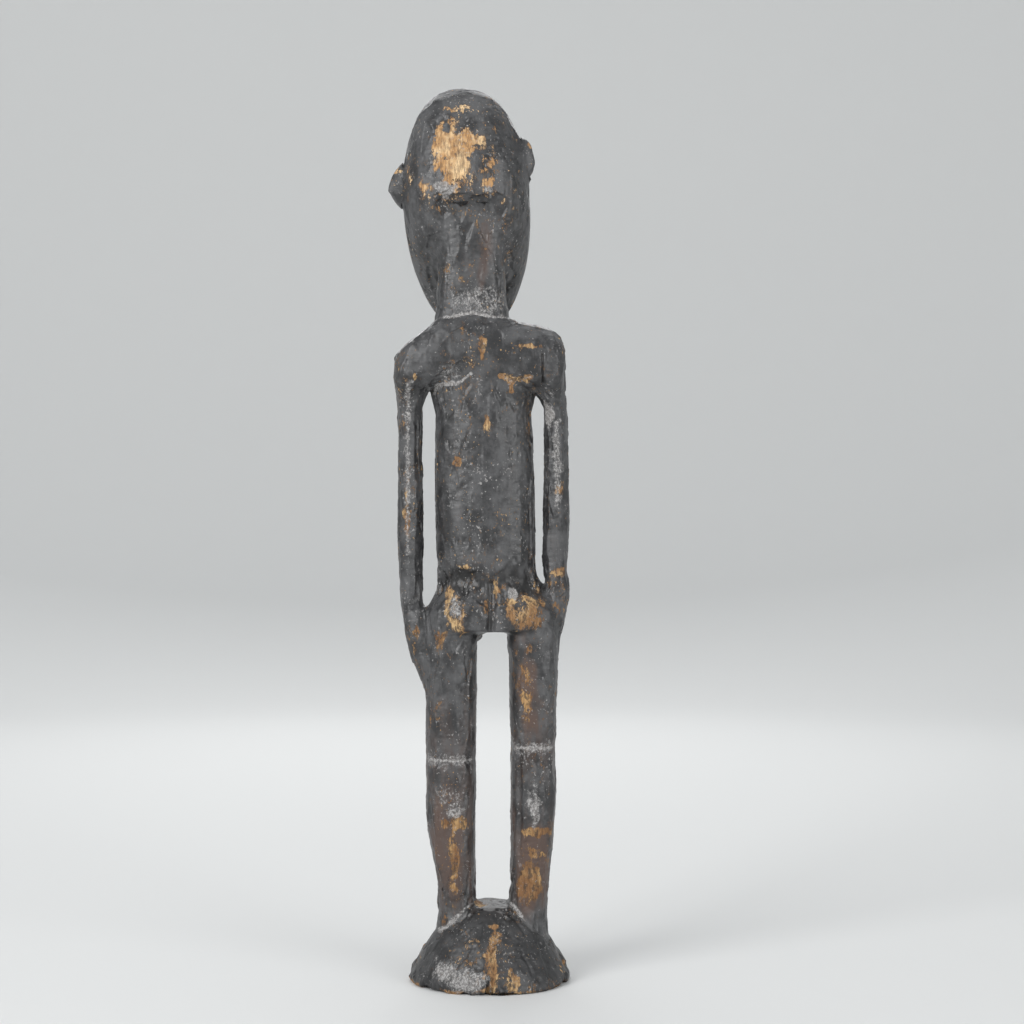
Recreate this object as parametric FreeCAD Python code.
"""Carved ancestor figure: a slim standing figure on a conical mound, cut from one log.

Frame: millimetres, +Z up, origin at the centre of the mound's flat underside. The figure faces -Y, so its own left
side is +X. Each region that the carver cut as a form of its own is a separate closed solid, and the regions meet
face to face. Nothing moves. The carving is uneven by hand: the head leans left, the left arm hangs lower.
"""
import FreeCAD, Part
import math
import os

V = FreeCAD.Vector

# ---- Driving dimensions: lengths that stack up from the floor ----
base_height = 56.0        # floor to the flat top of the mound
shin_length = 112.0       # mound top to the mean knee notch
thigh_length = 89.0       # knee notch to the crotch
hip_height = 42.0         # crotch to the waist ledge
torso_length = 190.0      # waist ledge to the neck crease
chin_drop = 10.0          # how far the chin hangs below the neck crease
head_height = 180.0       # chin to crown
knee_step = 9.0           # the right knee notch is this much higher than the left
hand_step = 22.0          # the right hand ends this much higher than the left

# ---- Mound ----
base_radius = 60.0
base_rim = 5.0            # height of the upright edge
base_edge = 1.5           # worn-off corner under the rim
base_top_radius = 25.0
base_top_edge = 5.0       # width of the sloping edge round the flat top
mound_swell = 2.0         # how far the slope's middle stands out from a straight cone
check_width = 2.6         # mouth of the drying check at the back of the mound
check_depth = 15.0
check_x = 1.0

# ---- Legs: sideways place of each leg, and half sizes of its sections ----
left_leg_x = 28.5
right_leg_x = -32.0
leg_y = 3.0               # how far the legs lie behind the middle of the log
leg_root = 36.0           # how deep each leg is rooted in the mound before it is trimmed
ankle_inset = 3.5         # how far each ankle stands nearer to the middle than its knee
ankle_half_width = 14.0
ankle_half_depth = 17.0
calf_drop = 43.0          # knee notch down to the fullest part of the calf
calf_half_depth = 20.0
left_knee_half_width = 18.5
right_knee_half_width = 16.7
knee_notch = 2.4          # depth of the carved crease behind each knee
notch_half_height = 5.0
thigh_half_width = 19.0
thigh_half_depth = 22.0
thigh_sink = 17.0         # how far each thigh runs up inside the hips before it is trimmed

# ---- Feet, in low relief on the front of the mound ----
heel_y = -9.0
foot_length = 44.0
foot_half_width = 12.0
foot_rise = 9.0           # how far the foot stands above the mound's slope
foot_thickness = 24.0     # from its top down into the mound
toe_gap = 2.0             # floor to the lowest that a toe may reach
toe_inset = 0.5           # how far the toes stay inside the mound's rim

# ---- Hips ----
hip_x = -1.0
hip_half_width = 47.0
hip_back = 30.0
hip_front = 27.0
buttock_proud = 6.0       # how far each buttock swells out beyond the cleft
buttock_rise = 17.0       # crotch up to the fullest part of the buttocks
hollow_rise = 31.0        # crotch up to the hollows above the buttocks
hollow_depth = 6.0
hollow_half_width = 40.0

# ---- Torso and shoulders ----
waist_x = 2.5
waist_half_width = 36.0
chest_x = 5.0
chest_half_width = 35.0
chest_drop = 133.0        # neck crease down to where the trunk turns from waist to chest
torso_back = 27.0
torso_front = 28.0
waist_ledge = 3.0         # how far the back ends proud of the hips
armpit_flare = 5.0        # how much wider the trunk is above the armpits
shoulder_left = 70.0      # the neck stands left of the log's middle, so each shoulder has its own reach
shoulder_right = 55.0
left_tip_drop = 29.0      # neck crease down to the top of each shoulder tip
right_tip_drop = 19.0
shoulder_round = 9.0      # how far in from each tip its rounding starts
yoke_back = 32.0
yoke_front = 26.0
yoke_crest = 3.5          # how far the yoke's top rises above the neck crease at the spine
crest_half_width = 22.5   # how far either side of the spine the shoulders start to fall
yoke_cover = 5.0          # thickness of the yoke over the top of the trunk
trunk_sink = 22.0         # neck crease down to where the trunk ends inside the yoke
blade_drop = 50.0         # neck crease down to the carved edge under the shoulder blades
blade_lift = 9.0          # how much higher that edge is at the spine than at the arms

# ---- Arms and hands ----
armpit_drop = 71.0        # neck crease down to the top of the gap inside each arm
left_split_x = 46.0       # upright planes that part the arms from the torso
right_split_x = -35.5
left_arm_x = 59.3
right_arm_x = -49.3
arm_y = 1.0               # how far the arms lie behind the middle of the log
arm_half_width = 9.2
arm_half_depth = 12.0
wrist_inset = 1.5         # how far each wrist stands nearer to the middle than its elbow
elbow_drop = 96.0         # neck crease down to the slimmest part of each arm
forearm_rise = 42.0       # wrist shelf up to the fullest part of each forearm
left_wrist_rise = 16.0    # crotch up to the shelf of the left wrist
left_hand_x = 55.8        # sideways place of the top of each hand
right_hand_x = -51.5
hand_length = 58.0
hand_half_width = 11.0
hand_half_depth = 14.0
fingertip_half_width = 6.5
hand_inset = 12.5         # how far the fingertips lie nearer to the middle than the hand's top

# ---- Neck ----
neck_x = 13.0
neck_half_width = 26.0
neck_back = 28.0
neck_front = 14.0
neck_taper = 4.0          # how much narrower each side of the neck is at its top
neck_sink = 18.0          # how far the neck runs into the torso and the head before it is trimmed
nape_length = 84.0        # neck crease up to the ledge under the back of the head

# ---- Head ----
head_x = 17.0
head_lean = 7.0           # how far the crown stands left of the chin
head_half_width = 47.0
head_mid = 90.0           # chin up to the widest place, half of the height
skull_back = 37.0
face_front = 52.0
chin_tuck = 8.0           # how far the chin's front lies behind the brow
chin_back = 29.0          # how far the chin's back stands in front of the origin
nape_inset = 3.0          # how far the back of the skull is cut in behind the neck's flat back
nape_margin = 1.5         # how far that cut reaches past either side of the neck
crown_power = 2.35        # how square the crown's outline is

# ---- Face and ears ----
brow_height = 104.0       # chin up to the brow edge
nose_length = 50.0
nose_proud = 9.0
nose_half_width = 9.0
nose_root = 36.0          # how far the nose runs back into the head
eye_drop = 13.0           # brow edge down to the middle of each eye
eye_spacing = 19.0        # nose line to the middle of each eye
eye_length = 25.0
eye_opening = 9.0
mouth_height = 37.0       # chin up to the middle of the lips
mouth_length = 30.0
lips_height = 10.0
feature_proud = 2.5       # how far the eyelids and lips stand out
left_ear_drop = 73.0      # crown down to the middle of each ear
right_ear_drop = 54.0
ear_half_height = 15.5
ear_half_depth = 9.0
ear_out = 10.0            # how far an ear stands out from the head's side
ear_root = 4.0            # how far it is rooted in the head before it is trimmed

# ---- Levels worked out from the lengths ----
knee_z = base_height + shin_length
crotch_z = knee_z + thigh_length
waist_z = crotch_z + hip_height
crease_z = waist_z + torso_length
chin_z = crease_z - chin_drop
crown_z = chin_z + head_height
armpit_z = crease_z - armpit_drop
blade_z = crease_z - blade_drop
ledge_z = crease_z + nape_length
left_wrist_z = crotch_z + left_wrist_rise
right_wrist_z = left_wrist_z + hand_step

# ---- Working values: how finely a section is drawn, how square it is, and a length past everything ----
RING_POINTS = 16
OVAL, RIDGED, ROUNDED, SQUARE = 2.0, 1.8, 2.5, 3.0
FAR = 400.0


def outline_points(x, half_width, front, back, count, power):
    """Points round a superellipse, half_width either side of x and from -front to back in Y."""
    middle = (back - front) / 2
    half_depth = (back + front) / 2
    points = []
    for i in range(count):
        turn = 2 * math.pi * i / count
        c, s = math.cos(turn), math.sin(turn)
        points.append(V(x + half_width * math.copysign(abs(c) ** (2 / power), c),
                        middle + half_depth * math.copysign(abs(s) ** (2 / power), s), 0))
    return points


def closed_curve(points):
    curve = Part.BSplineCurve()
    curve.interpolate(points, True)
    return Part.Wire(curve.toShape())


def ring(z, x, half_width, front, back, power=ROUNDED):
    """A closed smooth section at height z."""
    wire = closed_curve(outline_points(x, half_width, front, back, RING_POINTS, power))
    wire.translate(V(0, 0, z))
    return wire


def side_ring(x, low, high, front, back):
    """A squarer section standing upright at X = x and reaching from low to high."""
    wire = ring(0, 0, (high - low) / 2, front, back, SQUARE)
    wire.rotate(V(0, 0, 0), V(0, 1, 0), -90)
    wire.translate(V(x, 0, (high + low) / 2))
    return wire


def loft(rings, smooth=False):
    """A solid through the rings: flats from one to the next, as a knife leaves, or one smooth skin."""
    return Part.makeLoft(rings, True, not smooth)


def prism(outline, start, along):
    """A straight-sided solid from a closed outline of points, moved to start and run along a vector."""
    face = Part.Face(Part.makePolygon(outline + [outline[0]]))
    face.translate(start)
    return face.extrude(along)


def largest(shape):
    """The largest solid that a cut has left."""
    return max(shape.Solids, key=lambda s: s.Volume)


# ---- Mound ----

def mound():
    """A full-width disc of the log, dressed to a cone. A drying check splits its back."""
    outline = [V(0, 0, 0), V(base_radius - base_edge, 0, 0), V(base_radius, 0, base_edge),
               V(base_radius, 0, base_rim),
               V((base_radius + base_top_radius) / 2 + mound_swell, 0, (base_rim + base_height) / 2),
               V(base_top_radius, 0, base_height - base_top_edge / 2),
               V(base_top_radius - base_top_edge, 0, base_height), V(0, 0, base_height)]
    cone = Part.Face(Part.makePolygon(outline + [outline[0]])).revolve(V(0, 0, 0), V(0, 0, 1), 360)
    mouth = base_radius + base_rim
    widening = check_width / 2 * (mouth - base_radius + check_depth) / check_depth
    check = prism([V(-widening, mouth, 0), V(widening, mouth, 0), V(0, base_radius - check_depth, 0)],
                  V(check_x, 0, 0), V(0, 0, FAR))
    return cone.cut(check)


# ---- Legs ----

def leg(knee_x, knee_half_width, notch_z):
    """One leg from inside the mound to inside the hips, as a shin and a thigh that meet at the knee notch."""
    ankle_x = knee_x - math.copysign(ankle_inset, knee_x)

    def section(z, x, half_width, half_depth, notch=0.0):
        return ring(z, x, half_width - notch / 2, half_depth - leg_y, half_depth + leg_y - notch)

    shin = [section(base_height - leg_root, ankle_x, ankle_half_width, ankle_half_depth),
            section(base_height, ankle_x, ankle_half_width, ankle_half_depth),
            section(notch_z - calf_drop, knee_x, knee_half_width, calf_half_depth),
            section(notch_z - notch_half_height, knee_x, knee_half_width, calf_half_depth),
            section(notch_z, knee_x, knee_half_width, calf_half_depth, knee_notch)]
    thigh = [section(notch_z, knee_x, knee_half_width, calf_half_depth, knee_notch),
             section(notch_z + notch_half_height, knee_x, knee_half_width, calf_half_depth),
             section((notch_z + crotch_z) / 2, knee_x, (knee_half_width + thigh_half_width) / 2, thigh_half_depth),
             section(crotch_z, knee_x, thigh_half_width, thigh_half_depth),
             section(crotch_z + thigh_sink, knee_x, thigh_half_width, thigh_half_depth)]
    return loft(shin), loft(thigh)


def foot(x):
    """A wedge foot that runs forward and down the mound's slope, inside the log's own radius."""
    slope = (base_height - base_rim) / (base_radius - base_top_radius)
    sections = []
    for share, fullness in ((0.0, 0.75), (0.45, 0.9), (0.85, 1.0), (1.0, 0.9)):
        y = heel_y - foot_length * share
        ground = min(base_height, base_rim + (base_radius - abs(y)) * slope)
        half_height = foot_thickness / 2
        section = ring(0, 0, foot_half_width * fullness, half_height, half_height, SQUARE)
        section.rotate(V(0, 0, 0), V(1, 0, 0), 90)
        section.translate(V(x, y, ground + foot_rise * fullness - half_height))
        sections.append(section)
    inside_log = Part.makeCylinder(base_radius - toe_inset, FAR, V(0, 0, toe_gap))
    return loft(sections).common(inside_log)


# ---- Hips ----

def hip_ring(z, x, half_width, front, back, swell):
    """A section of the hips whose back swells into two buttocks either side of a cleft."""
    points = []
    for corner in outline_points(x, half_width, front, back, 2 * RING_POINTS, ROUNDED):
        across = (corner.x - x) / half_width
        if corner.y > 0:
            corner.y += swell * math.sin(math.pi * across) ** 2
        points.append(V(corner.x, corner.y, z))
    return closed_curve(points)


def hips():
    """The block from the crotch to the waist ledge: full at the buttocks, hollowed above them."""
    return loft([
        hip_ring(crotch_z, hip_x, hip_half_width, hip_front, hip_back, buttock_proud / 3),
        hip_ring(crotch_z + buttock_rise, hip_x, hip_half_width, hip_front, hip_back, buttock_proud),
        hip_ring(crotch_z + hollow_rise, hip_x, hollow_half_width, hip_front, hip_back - hollow_depth,
                 buttock_proud / 3),
        hip_ring(waist_z, waist_x, waist_half_width, torso_front, torso_back - waist_ledge, 0.0)])


# ---- Torso ----

def torso():
    """The straight trunk, and the sloping yoke that joins both shoulders and stands proud of the back."""
    trunk = loft([
        ring(waist_z, waist_x, waist_half_width, torso_front, torso_back),
        ring(crease_z - chest_drop, (waist_x + chest_x) / 2, waist_half_width, torso_front, torso_back),
        ring(armpit_z, chest_x, chest_half_width, torso_front, torso_back),
        ring(blade_z, chest_x, chest_half_width + armpit_flare, torso_front, torso_back),
        ring(crease_z - trunk_sink, neck_x, neck_half_width, yoke_front - yoke_cover, yoke_back - yoke_cover)])
    left_top, right_top = crease_z - left_tip_drop, crease_z - right_tip_drop
    left_low = right_low = blade_z - blade_lift
    stations = [
        (-shoulder_right, right_low, right_top, 0.8),
        (shoulder_round - shoulder_right, right_low, right_top + shoulder_round, 1.0),
        (neck_x - crest_half_width, blade_z, crease_z - yoke_crest / 3, 1.0),
        (neck_x, blade_z + blade_lift, crease_z + yoke_crest, 1.0),
        (neck_x + crest_half_width, blade_z, crease_z - yoke_crest / 3, 1.0),
        (shoulder_left - shoulder_round, left_low, left_top + shoulder_round, 1.0),
        (shoulder_left, left_low, left_top, 0.8)]
    yoke = loft([side_ring(x, low, high, yoke_front * fullness, yoke_back * fullness)
                 for x, low, high, fullness in stations])
    return trunk.fuse(yoke)


# ---- Arms and hands ----

def arm(x, wrist_z, split_x, tip_x, tip_top):
    """One straight ridged arm from inside the shoulder to the wrist shelf."""
    wrist_x = x - math.copysign(wrist_inset, x)
    shoulder_x = (split_x + tip_x) / 2
    shoulder_half = abs(tip_x - split_x) / 2

    def section(z, middle_x, half_width, depth, power):
        return ring(z, middle_x, half_width, depth - arm_y, depth + arm_y, power)

    shoulder_depth = yoke_front - arm_half_depth / 2
    return loft([
        section(wrist_z, wrist_x, arm_half_width, arm_half_depth - 1, OVAL),
        section(wrist_z + forearm_rise, x, arm_half_width, arm_half_depth, RIDGED),
        section(crease_z - elbow_drop, x, arm_half_width - 0.6, arm_half_depth, RIDGED),
        section(armpit_z, x, arm_half_width, arm_half_depth + 3, OVAL),
        section(blade_z, shoulder_x, shoulder_half, shoulder_depth, ROUNDED),
        section(tip_top - shoulder_round, shoulder_x, shoulder_half, shoulder_depth, ROUNDED)])


def hand(x, wrist_z):
    """A flat hand laid on the outside of the thigh, fingers down, with a shelf where the thinner wrist meets it."""
    inward = -math.copysign(hand_inset, x)
    sections = []
    for share, half_width, thinner in ((1.0, fingertip_half_width, 5), (0.65, hand_half_width - 1, 1),
                                       (0.25, hand_half_width, 0), (0.07, hand_half_width - 1, 0),
                                       (0.0, hand_half_width - 2.5, 2)):
        half_depth = hand_half_depth - thinner
        sections.append(ring(wrist_z - hand_length * share, x + inward * share, half_width, half_depth, half_depth))
    return loft(sections)


# ---- Neck and head ----

def neck():
    """A broad flat-backed column that rises straight to the ledge under the skull."""
    return loft([
        ring(crease_z - neck_sink, neck_x, neck_half_width, neck_front, neck_back - 3, SQUARE),
        ring(crease_z, neck_x, neck_half_width, neck_front, neck_back - 3, SQUARE),
        ring(ledge_z + neck_sink, neck_x + 2, neck_half_width - neck_taper, neck_front, neck_back, SQUARE)])


def head_middle(z):
    """The head's own middle line, which leans to the figure's left as it rises."""
    return head_x + head_lean * ((z - chin_z) / head_height - 0.5)


def egg(grown=0.0):
    """The bare head: a full dome above, and a plain half oval from the widest place down to the chin."""
    widest_z = chin_z + head_mid
    rings = []
    for degrees in (75, 60, 45, 30, 15):
        share = math.sin(math.radians(degrees))
        z = widest_z - head_mid * share
        half_width = head_half_width * math.cos(math.radians(degrees))
        front = face_front - chin_tuck * share ** 3
        drawn_in = (1 - math.cos(math.pi * share ** 0.9)) / 2
        back = skull_back - (skull_back + chin_back) * drawn_in
        rings.append(ring(z, head_middle(z), half_width + grown, front + grown, back, crown_power))
    for degrees in (4, 22, 40, 56, 70, 80, 86):
        up = math.sin(math.radians(degrees))
        out = (1 - up ** crown_power) ** (1 / crown_power)
        z = widest_z + (head_height - head_mid) * up
        front = (face_front + skull_back) / 2 * out + (face_front - skull_back) / 2
        back = (face_front + skull_back) * out - front
        rings.append(ring(z, head_middle(z), head_half_width * out + grown, front + grown, back, crown_power))
    return loft(rings, smooth=True)


def nape():
    """What the carver took away below the back of the skull, so that the flat neck ends under a ledge."""
    half_width = neck_half_width + nape_margin
    return Part.makeBox(2 * half_width, FAR, FAR, V(neck_x - half_width, neck_back - nape_inset, ledge_z - FAR))


def nose():
    """A straight nose with a broad foot, from between the brows to above the lips."""
    low = chin_z + brow_height - nose_length
    x = head_middle(low)
    sections = []
    for rise, breadth, proud in ((0.0, 1.0, 0.55), (0.14, 1.0, 1.0), (0.5, 0.6, 0.62), (1.0, 0.42, 0.12)):
        sections.append(ring(low + nose_length * rise, x, nose_half_width * breadth,
                             face_front + nose_proud * proud, nose_root - face_front, OVAL))
    return loft(sections)


def almond(x, z, length, height):
    """An almond seen from the front, running straight back: the outline of a closed eyelid or of the lips."""
    radius = (length ** 2 / 4 + height ** 2 / 4) / height
    upper, lower = [Part.makeCylinder(radius, FAR, V(x, -FAR, z + side * (radius - height / 2)), V(0, 1, 0))
                    for side in (1, -1)]
    return upper.common(lower)


def head():
    """The egg cut back at the nape, with a nose, two closed eyelids and lips that stand a little out of it."""
    skull = egg().cut(nape()).fuse(nose())
    skin = egg(feature_proud)
    eye_z = chin_z + brow_height - eye_drop
    lips_z = chin_z + mouth_height
    for x, z, length, height in ((head_middle(eye_z) - eye_spacing, eye_z, eye_length, eye_opening),
                                 (head_middle(eye_z) + eye_spacing, eye_z, eye_length, eye_opening),
                                 (head_middle(lips_z), lips_z, mouth_length, lips_height)):
        skull = skull.fuse(almond(x, z, length, height).common(skin))
    return skull


def ear(side, drop):
    """A plain upright disc, side = 1 for the figure's left."""
    z = crown_z - drop
    disc = Part.makeSphere(1.0)
    stretch = FreeCAD.Matrix()
    stretch.scale(ear_out + ear_root, ear_half_depth, ear_half_height)
    disc = disc.transformGeometry(stretch)
    disc.translate(V(head_middle(z) + side * (head_half_width - ear_root), 0, z))
    return disc


# ---- Assembly: trim each region by the ones that it grows out of ----

def build():
    base = mound()
    left_shin, left_thigh = leg(left_leg_x, left_knee_half_width, knee_z - knee_step / 2)
    right_shin, right_thigh = leg(right_leg_x, right_knee_half_width, knee_z + knee_step / 2)
    pelvis = hips()
    trunk = torso()
    skull = head()

    left_of_split = Part.makeBox(FAR, FAR, 2 * FAR, V(left_split_x, -FAR / 2, 0))
    right_of_split = Part.makeBox(FAR, FAR, 2 * FAR, V(right_split_x - FAR, -FAR / 2, 0))
    left_arm = arm(left_arm_x, left_wrist_z, left_split_x, shoulder_left, crease_z - left_tip_drop)
    right_arm = arm(right_arm_x, right_wrist_z, right_split_x, -shoulder_right, crease_z - right_tip_drop)
    left_arm = left_arm.fuse(trunk).common(left_of_split)
    right_arm = right_arm.fuse(trunk).common(right_of_split)
    left_hand = hand(left_hand_x, left_wrist_z)
    right_hand = hand(right_hand_x, right_wrist_z)

    parts = {
        "base": base,
        "left_shin": left_shin.cut(base),
        "right_shin": right_shin.cut(base),
        "left_foot": foot(left_leg_x - ankle_inset).cut([base, left_shin]),
        "right_foot": foot(right_leg_x + ankle_inset).cut([base, right_shin]),
        "left_thigh": left_thigh.cut([pelvis, left_hand, left_arm]),
        "right_thigh": right_thigh.cut([pelvis, right_hand, right_arm]),
        "hips": pelvis.cut([left_hand, right_hand, left_arm, right_arm]),
        "torso": trunk.cut([left_of_split, right_of_split]),
        "left_arm": left_arm,
        "right_arm": right_arm,
        "left_hand": left_hand,
        "right_hand": right_hand,
        "neck": neck().cut([skull, trunk]),
        "head": skull,
        "left_ear": ear(1, left_ear_drop).cut(skull),
        "right_ear": ear(-1, right_ear_drop).cut(skull),
    }
    return {name: largest(shape) for name, shape in parts.items()}


os.makedirs("parts", exist_ok=True)
for name, shape in build().items():
    box = shape.optimalBoundingBox(False)
    print(f"{name:12s} valid={shape.isValid()} volume={shape.Volume / 1000:6.1f} cm3 "
          f"x {box.XMin:6.1f}..{box.XMax:5.1f} y {box.YMin:6.1f}..{box.YMax:5.1f} z {box.ZMin:6.1f}..{box.ZMax:5.1f}")
    shape.exportStep(f"parts/{name}.step")
